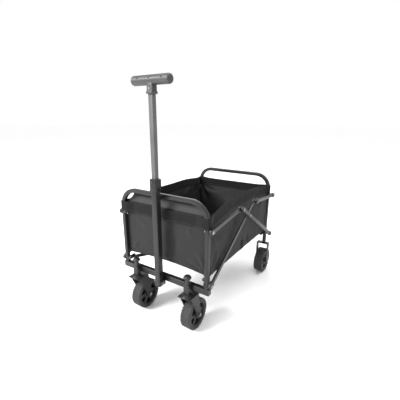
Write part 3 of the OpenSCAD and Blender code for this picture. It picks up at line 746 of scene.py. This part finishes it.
def tubeMesh(name, lines):
    radius, rings = piping["radius"], piping["rings"]
    shape = bmesh.new()
    for line in lines:
        loops = []
        for k, point in enumerate(line):
            ahead = line[min(k + 1, len(line) - 1)] - line[max(k - 1, 0)]
            turn = ahead.to_track_quat("Z", "X")
            angles = [2 * math.pi * n / rings for n in range(rings)]
            ring = [turn @ Vector((radius * math.cos(a), radius * math.sin(a), 0)) for a in angles]
            loops.append([shape.verts.new(point + offset) for offset in ring])
        for first, second in zip(loops, loops[1:]):
            for n in range(rings):
                shape.faces.new((first[n], first[(n + 1) % rings], second[(n + 1) % rings], second[n]))
        shape.faces.new(loops[0][::-1])
        shape.faces.new(loops[-1])
    bmesh.ops.recalc_face_normals(shape, faces=shape.faces)
    mesh = bpy.data.meshes.new(name)
    shape.to_mesh(mesh)
    shape.free()
    layer = mesh.uv_layers.new(name="clothUV")
    for loop in mesh.loops:
        point = mesh.vertices[loop.vertex_index].co
        layer.data[loop.index].uv = (point.x + point.y, point.z)
    shadeSmooth(mesh)
    return mesh


for end, body in endBodies.items():
    inset = Vector((0, endPlanes[end][1] * piping["inset"], 0))
    shares = [k / piping["endSteps"] for k in range(piping["endSteps"] + 1)]
    lines = [[endPoint(side, share, end) + inset for share in shares] for side in (0, 1)]
    lines.append([endPoint(share, 0, end) + Vector((0, 0, piping["lift"])) for share in shares])
    if end == "front":
        lines.append([lipPoint(share, 1) for share in shares])
    cord = addObject(end + "SeamPiping", tubeMesh(end + "SeamPiping", lines), hemCloth)
    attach(cord, body)

for sideName, side in sides.items():
    shares = [k / piping["sideSteps"] for k in range(piping["sideSteps"] + 1)]
    line = [sidePoint(share, 0, side) + Vector((0, 0, piping["lift"])) for share in shares]
    cord = addObject("bottomPiping" + sideName.title(), tubeMesh("bottomPiping", [line]), hemCloth)
    followFold(cord)

print("stage: geometry node trees")


def newTree(name, inputs):
    tree = bpy.data.node_groups.new(name, "GeometryNodeTree")
    tree.interface.new_socket("Geometry", in_out="INPUT", socket_type="NodeSocketGeometry")
    for label, kind, value in inputs:
        socket = tree.interface.new_socket(label, in_out="INPUT", socket_type="NodeSocket" + kind)
        if value is not None:
            socket.default_value = value
    tree.interface.new_socket("Geometry", in_out="OUTPUT", socket_type="NodeSocketGeometry")
    return tree, tree.nodes.new("NodeGroupInput").outputs, tree.nodes.new("NodeGroupOutput")


def addNode(tree, kind, settings=(), **values):
    node = tree.nodes.new(kind)
    for label, value in settings:
        setattr(node, label, value)
    for label, value in values.items():
        socket = node.inputs[int(label[1:])] if label[0] == "_" else node.inputs[label.replace("_", " ")]
        # A node stands for its first output
        if isinstance(value, bpy.types.Node):
            value = value.outputs[0]
        if isinstance(value, bpy.types.NodeSocket):
            tree.links.new(value, socket)
        else:
            socket.default_value = value
    return node


def calc(tree, operation, *values):
    return addNode(tree, "ShaderNodeMath", [("operation", operation)],
                   **{"_%d" % k: v for k, v in enumerate(values)}).outputs[0]


def runTree(item, tree, values, name):
    # Inputs are set by their identifiers before anything is evaluated
    modifier = item.modifiers.new(tree.name, "NODES")
    modifier.node_group = tree
    for socket in tree.interface.items_tree:
        if socket.in_out == "INPUT" and socket.name in values:
            modifier[socket.identifier] = values[socket.name]
    bpy.context.view_layer.update()
    made = item.evaluated_get(bpy.context.evaluated_depsgraph_get())
    mesh = bpy.data.meshes.new_from_object(made)
    item.modifiers.clear()
    mesh.name = name
    bpy.data.objects.remove(item)
    return addObject(name, mesh)


def finishTree(tree, geometry, given, output):
    real = addNode(tree, "GeometryNodeRealizeInstances", Geometry=geometry)
    painted = addNode(tree, "GeometryNodeSetMaterial", Geometry=real, Material=given["finish"])
    tree.links.new(painted.outputs[0], output.inputs[0])


def ringTree():
    # Blocks set round a wheel, turned outwards, in one row
    tree, given, output = newTree("blocksRoundAxle", [
        ("centre", "Vector", (0, 0, 0)), ("radius", "Float", 0.06), ("across", "Float", 0.0),
        ("count", "Int", 30), ("start", "Float", 0.0), ("slant", "Float", 0.0),
        ("blockSize", "Vector", (1, 1, 1)), ("topShare", "Float", 0.75), ("finish", "Material", None)])
    index = addNode(tree, "GeometryNodeInputIndex")
    step = calc(tree, "DIVIDE", calc(tree, "ADD", index, given["start"]), given["count"])
    angle = calc(tree, "MULTIPLY", step, 2 * math.pi)
    radius = given["radius"]
    place = addNode(tree, "ShaderNodeCombineXYZ", X=given["across"],
                    Y=calc(tree, "MULTIPLY", calc(tree, "SINE", angle), calc(tree, "MULTIPLY", radius, -1)),
                    Z=calc(tree, "MULTIPLY", calc(tree, "COSINE", angle), radius))
    there = addNode(tree, "ShaderNodeVectorMath", [("operation", "ADD")], _0=place, _1=given["centre"])
    points = addNode(tree, "GeometryNodePoints", Count=given["count"], Position=there)
    around = addNode(tree, "ShaderNodeCombineXYZ", X=angle)
    outwards = addNode(tree, "FunctionNodeEulerToRotation", _0=around)
    skew = addNode(tree, "ShaderNodeCombineXYZ", Z=given["slant"])
    twist = addNode(tree, "FunctionNodeEulerToRotation", _0=skew)
    turned = addNode(tree, "FunctionNodeRotateRotation", [("rotation_space", "LOCAL")],
                     _0=outwards, _1=twist)
    block = addNode(tree, "GeometryNodeMeshCone", Vertices=4, Side_Segments=1, Fill_Segments=1,
                    Radius_Top=given["topShare"], Radius_Bottom=1.0, Depth=1.0)
    square = addNode(tree, "GeometryNodeTransform", Geometry=block, Rotation=(0, 0, math.pi / 4),
                     Scale=(math.sqrt(0.5), math.sqrt(0.5), 1))
    placed = addNode(tree, "GeometryNodeInstanceOnPoints", Points=points,
                     Instance=square, Rotation=turned, Scale=given["blockSize"])
    both = addNode(tree, "GeometryNodeJoinGeometry")
    tree.links.new(given["Geometry"], both.inputs[0])
    tree.links.new(placed.outputs[0], both.inputs[0])
    finishTree(tree, both, given, output)
    return tree


def rowTree():
    # Small beads at an even pitch along curves, long way along the curve
    tree, given, output = newTree("beadsAlongLines", [
        ("pitch", "Float", 0.004), ("beadSize", "Vector", (1, 1, 1)), ("rings", "Int", 4),
        ("finish", "Material", None)])
    even = addNode(tree, "GeometryNodeResampleCurve", [("mode", "LENGTH")], Curve=given["Geometry"],
                   Length=given["pitch"])
    along = addNode(tree, "GeometryNodeInputTangent")
    turned = addNode(tree, "FunctionNodeAlignRotationToVector", [("axis", "Z")], Vector=along)
    bead = addNode(tree, "GeometryNodeMeshUVSphere", Segments=6, Rings=given["rings"], Radius=1.0)
    smoothBead = addNode(tree, "GeometryNodeSetShadeSmooth", Geometry=bead, Shade_Smooth=True)
    placed = addNode(tree, "GeometryNodeInstanceOnPoints", Points=even,
                     Instance=smoothBead, Rotation=turned, Scale=given["beadSize"])
    finishTree(tree, placed, given, output)
    return tree


def domeTree():
    # Domed rivet heads on the vertices of a mesh, bulging along x
    tree, given, output = newTree("domesOnPoints", [
        ("headRadius", "Float", 0.006), ("headHeight", "Float", 0.002), ("finish", "Material", None)])
    dome = addNode(tree, "GeometryNodeMeshUVSphere", Segments=24, Rings=12, Radius=1.0)
    smoothDome = addNode(tree, "GeometryNodeSetShadeSmooth", Geometry=dome, Shade_Smooth=True)
    size = addNode(tree, "ShaderNodeCombineXYZ", X=given["headHeight"],
                   Y=given["headRadius"], Z=given["headRadius"])
    points = addNode(tree, "GeometryNodeMeshToPoints", Mesh=given["Geometry"])
    placed = addNode(tree, "GeometryNodeInstanceOnPoints", Points=points, Instance=smoothDome, Scale=size)
    finishTree(tree, placed, given, output)
    return tree


blocksRoundAxle, beadsAlongLines, domesOnPoints = ringTree(), rowTree(), domeTree()


def pointObject(name, points):
    mesh = bpy.data.meshes.new(name)
    mesh.from_pydata([tuple(p) for p in points], [], [])
    return addObject(name, mesh)


def lineObject(name, lines):
    curve = bpy.data.curves.new(name, "CURVE")
    curve.dimensions = "3D"
    for line in lines:
        spline = curve.splines.new("POLY")
        spline.points.add(len(line) - 1)
        for point, place in zip(spline.points, line):
            point.co = (*place, 1)
    item = bpy.data.objects.new(name, curve)
    scene.collection.objects.link(item)
    return item


print("stage: wheels")

tyre = {
    "treadDepth": 0.0023,
    "blocks": 34,
    "rows": (-0.0140, 0.0, 0.0140),  # distance of each row from the middle
    "blockSize": (0.0122, 0.0088, 0.0031),
    "blockGap": 0.0003,  # top of a block to the tyre's outside
    "slant": 0.50,
    "slantShare": 0.8,
    "topShare": 0.8,  # top of a block to its foot
    "shoulderBlocks": 34,
    "shoulderSize": (0.0024, 0.0066, 0.0044),
    "shoulderSink": 0.0030,
    "shoulderInset": 0.0012,
    "shoulderTopShare": 0.7,
    "segments": 120,
}


def lathe(name, profile, centre, segments, finish):
    # profile: (x, radius) closed round the section, turned about the wheel's axle
    shape = bmesh.new()
    loops = []
    for k in range(segments):
        angle = 2 * math.pi * k / segments
        across, up = -math.sin(angle), math.cos(angle)
        loops.append([shape.verts.new((centre.x + x, centre.y + r * across, centre.z + r * up))
                      for x, r in profile])
    count = len(profile)
    for k in range(segments):
        here, there = loops[k], loops[(k + 1) % segments]
        for n in range(count):
            shape.faces.new((here[n], here[(n + 1) % count], there[(n + 1) % count], there[n]))
    bmesh.ops.recalc_face_normals(shape, faces=shape.faces)
    mesh = bpy.data.meshes.new(name)
    shape.to_mesh(mesh)
    shape.free()
    shadeSmooth(mesh)
    return addObject(name, mesh, finish)


wheelBodies = {"tyre_%s_%s" % (end, side): "wheel_%s_%s" % (end, side)
               for end in ("front", "rear") for side in ("left", "right")}

for node, body in wheelBodies.items():
    low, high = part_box(node)
    centre = (low + high) / 2
    outer, half = (high.z - low.z) / 2, (high.x - low.x) / 2
    rimLow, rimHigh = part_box(node.replace("tyre", "rim"))
    seat = (rimHigh.z - rimLow.z) / 2
    tread = outer - tyre["treadDepth"]
    # Half a section, from the bead to the tread: inward from the tyre's side, radius
    flank = [(0.003, seat), (0.0012, seat + 0.0016), (0.0012, seat + 0.0030), (0.0004, seat + 0.0036),
             (0.0, seat + 0.0052), (0.0004, tread - 0.0036), (0.0022, tread - 0.0012), (0.0060, tread)]
    profile = [(-half + 0.003, seat), *((half - x, r) for x, r in flank), (0.0, tread + 0.0004),
               *((-half + x, r) for x, r in reversed(flank[1:]))]
    item = lathe(node + "Carcass", profile, centre, tyre["segments"], rubber)
    size = tyre["blockSize"]
    for k, across in enumerate(tyre["rows"]):
        item = runTree(item, blocksRoundAxle, {
            "centre": tuple(centre), "radius": outer - size[2] - tyre["blockGap"], "across": across,
            "count": tyre["blocks"], "start": 0.5 * (k % 2),
            "slant": (1 - k) * tyre["slant"] * tyre["slantShare"], "blockSize": size,
            "topShare": tyre["topShare"], "finish": rubber}, node + "Tread%d" % k)
    for side in (-1, 1):
        item = runTree(item, blocksRoundAxle, {
            "centre": tuple(centre), "radius": tread - tyre["shoulderSink"],
            "across": side * (half - tyre["shoulderInset"]), "count": tyre["shoulderBlocks"],
            "start": 0.5, "slant": 0.0, "blockSize": tyre["shoulderSize"],
            "topShare": tyre["shoulderTopShare"], "finish": rubber}, node + "Shoulder")
    item.name = item.data.name = "tread" + "".join(part.title() for part in body.split("_"))
    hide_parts(node)
    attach(item, body)

edges = {"angle": 35, "segments": 2, "mergeDistance": 1e-6, "flatAngle": 0.6}


def softened(node, width, body):
    # A merged copy of a CAD piece with its sharp edges rounded
    source = frame["nodes"][node]
    mesh = source.data.copy()
    mesh.name = node + "Soft"
    shape = bmesh.new()
    shape.from_mesh(mesh)
    bmesh.ops.remove_doubles(shape, verts=shape.verts, dist=edges["mergeDistance"])
    bmesh.ops.dissolve_limit(shape, angle_limit=math.radians(edges["flatAngle"]), verts=shape.verts,
                             edges=shape.edges)
    shape.to_mesh(mesh)
    shape.free()
    item = addObject(node + "Soft", mesh)
    shadeSmooth(mesh)
    bevel = item.modifiers.new("softEdges", "BEVEL")
    bevel.width = width
    bevel.segments = edges["segments"]
    bevel.limit_method = "ANGLE"
    bevel.angle_limit = math.radians(edges["angle"])
    bevel.harden_normals = True
    bevel.use_clamp_overlap = True
    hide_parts(node)
    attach(item, body)


print("stage: rounded edges")

bodyOf = {node: body for body, nodes in frame["record"]["behaviour"]["bodies"].items() for node in nodes}
# Names that start with: width of the rounded edge
softWidths = {
    "caster_housings": 0.0016, "caster_fork": 0.0008, "rear_forks": 0.0008, "rim": 0.0009,
    "front_diagonal_caps": 0.0012, "rear_diagonal_caps": 0.0012, "front_brace": 0.0008,
    "rear_brace": 0.0008, "caster_axle": 0.0007, "rear_axles": 0.0007, "handle_bracket": 0.0006,
    "handle_collar": 0.0016, "front_brackets": 0.0006, "rear_brackets": 0.0006,
    "front_cross_bar": 0.0007, "front_loop": 0.0018, "rear_loop": 0.0018,
    "handle_outer_tube": 0.0012, "handle_inner_tube": 0.0012, "front_diagonal": 0.0009,
    "rear_diagonal": 0.0009, "handle_foot_plug": 0.0008, "collar_button": 0.0008, "grip_neck": 0.0010,
}
for node in sorted(frame["nodes"]):
    keys = [key for key in softWidths if node.startswith(key)]
    if keys:
        softened(node, softWidths[max(keys, key=len)], bodyOf[node])

print("stage: rivets and ribs")

rivets = {
    "headRadius": 0.0058,
    "headHeight": 0.0013,
    "capRadius": 0.010,
    "screwRadius": 0.0036,
    "screwHeight": 0.0011,
    "screwPlaces": (-0.050, 0.0, 0.050),
    "screwSink": 0.0004,
    "screwDrop": 0.0034,
}


def tailEnd(side):
    # Where a rear diagonal's free top end has its rivet
    start, crossing = pivots["rear_foot"], pivots["cross_right"]
    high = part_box("rear_diagonal_caps_right")[1]
    lean = crossing.yz - start.yz
    reach = (high.z - rivets["capRadius"] - start.z) / lean.y
    return Vector((side * high.x, start.y + lean.x * reach, start.z + lean.y * reach))


def domes(name, points, body, headRadius=rivets["headRadius"], headHeight=rivets["headHeight"]):
    item = runTree(pointObject(name + "Places", points), domesOnPoints,
                   {"headRadius": headRadius, "headHeight": headHeight, "finish": zinc}, name)
    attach(item, body)


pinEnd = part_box("rear_pivot_pins")[1].x
upperZ = pivots["rear_brace_right_pivot"].z
domes("rearPinDomes", [(side * pinEnd, rearY, z) for side in sides.values()
                       for z in (pivots["rear_foot"].z, upperZ)], "rear_frame")
for sideName, side in sides.items():
    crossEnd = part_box("front_diagonal_caps_" + sideName)[1 if side > 0 else 0].x
    domes("crossDome" + sideName.title(), [(crossEnd, pivots["cross_right"].y, pivots["cross_right"].z)],
          "front_diagonal_" + sideName)
    domes("tailDome" + sideName.title(), [tailEnd(side)], "rear_diagonal_" + sideName)

knob = {"ribs": 20, "ribWidth": 0.0013, "ribHeight": 0.0068, "down": 0.0090}
for sideName, side in sides.items():
    low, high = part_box("caster_stem_" + sideName)
    middle, radius = (low + high) / 2, (high.x - low.x) / 2
    lines = []
    for k in range(knob["ribs"]):
        angle = 2 * math.pi * k / knob["ribs"]
        foot = Vector((middle.x + radius * math.cos(angle), middle.y + radius * math.sin(angle),
                       high.z - knob["down"]))
        lines.append([foot - Vector((0, 0, 0.0001)), foot + Vector((0, 0, 0.0001))])
    ribs = runTree(lineObject("knobRibLines", lines), beadsAlongLines, {
        "pitch": 0.01, "beadSize": (knob["ribWidth"], knob["ribWidth"], knob["ribHeight"] / 2),
        "rings": 6, "finish": blackPlastic}, "knobRibs" + sideName.title())
    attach(ribs, "caster_" + sideName)

screwLow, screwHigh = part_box("grip_screws")
domes("gripScrewDomes", [(x, screwLow.y + rivets["screwSink"], screwHigh.z - rivets["screwDrop"])
                         for x in rivets["screwPlaces"]],
      "handle_inner", rivets["screwRadius"], rivets["screwHeight"])

print("stage: stitching")

# Rows are shares of the way up a cloth
stitch = {
    "pitch": 0.0042,
    "length": 0.0030,
    "thread": 0.00052,
    "lift": 0.0002,
    "bandRows": (0.08, 0.14, 0.92),
    "insideRows": (0.10, 0.16),
    "lipRow": 0.88,
    "lipLift": (0, -0.0004, 0.0002),
    "outerRows": (0.045, 0.075, 0.40),
    "innerRows": (0.60, 0.925, 0.955),
    "sideRow": 0.16,
}


def stitches(name, lines, body):
    item = runTree(lineObject(name + "Lines", lines), beadsAlongLines, {
        "pitch": stitch["pitch"], "beadSize": (stitch["thread"], stitch["thread"], stitch["length"] / 2),
        "rings": 5, "finish": threadNylon}, name)
    if body is None:
        followFold(item)
    else:
        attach(item, body)


for end, body in endBodies.items():
    path, inward = bandPath(end), endPlanes[end][1]
    push = Vector((0, -inward * stitch["lift"], 0))
    lines = [[bandPoint(path, k / hems["steps"], rise, end) + push for k in range(8, 143)]
             for rise in stitch["bandRows"]]
    lines += [[insideHemPoint(k / 96, rise, end) - push for k in range(3, 94)]
              for rise in stitch["insideRows"]]
    if end == "front":
        forward = Vector(stitch["lipLift"])
        lines.append([lipPoint(k / 60, stitch["lipRow"]) + forward for k in range(3, 58)])
    stitches(end + "Stitches", lines, body)

for sideName, side in sides.items():
    out = Vector((side * stitch["lift"], 0, 0))
    shares = [k / 132 for k in range(2, 131)]
    lines = [[bindingPoint(share, rise, side) + out for share in shares] for rise in stitch["outerRows"]]
    lines += [[bindingPoint(share, rise, side) - out for share in shares] for rise in stitch["innerRows"]]
    lines.append([sidePoint(share, stitch["sideRow"], side) + out for share in shares])
    stitches("sideStitches" + sideName.title(), lines, None)

tab = {
    "width": 0.022,
    "place": 0.10,  # along the side from its start
    "start": 0.31,  # share of the side's length
    "sideLength": 0.58,
    "foot": 0.02,  # share of the side's height
    "reach": 0.20,
    "cover": 0.0016,
    "thickness": 0.0012,
}


def tabPoint(share, rise, side):
    here = tab["place"] / tab["sideLength"] + (share - 0.5) * tab["width"] / tab["sideLength"] + tab["start"]
    point = sidePoint(here, tab["foot"] + tab["reach"] * rise, side)
    beyond = sidePoint(here, 0.24 + tab["reach"] * rise, side) - point
    normal = Vector((beyond.z, 0, -beyond.x)) if side > 0 else Vector((-beyond.z, 0, beyond.x))
    return point + normal.normalized() * tab["cover"]


for sideName, side in sides.items():
    item = clothSheet("pullTab" + sideName.title(), lambda u, v, side=side: tabPoint(u, v, side),
                      (10, 14), (side, 0, -0.3), (hemCloth,), tab["thickness"])
    followFold(item)
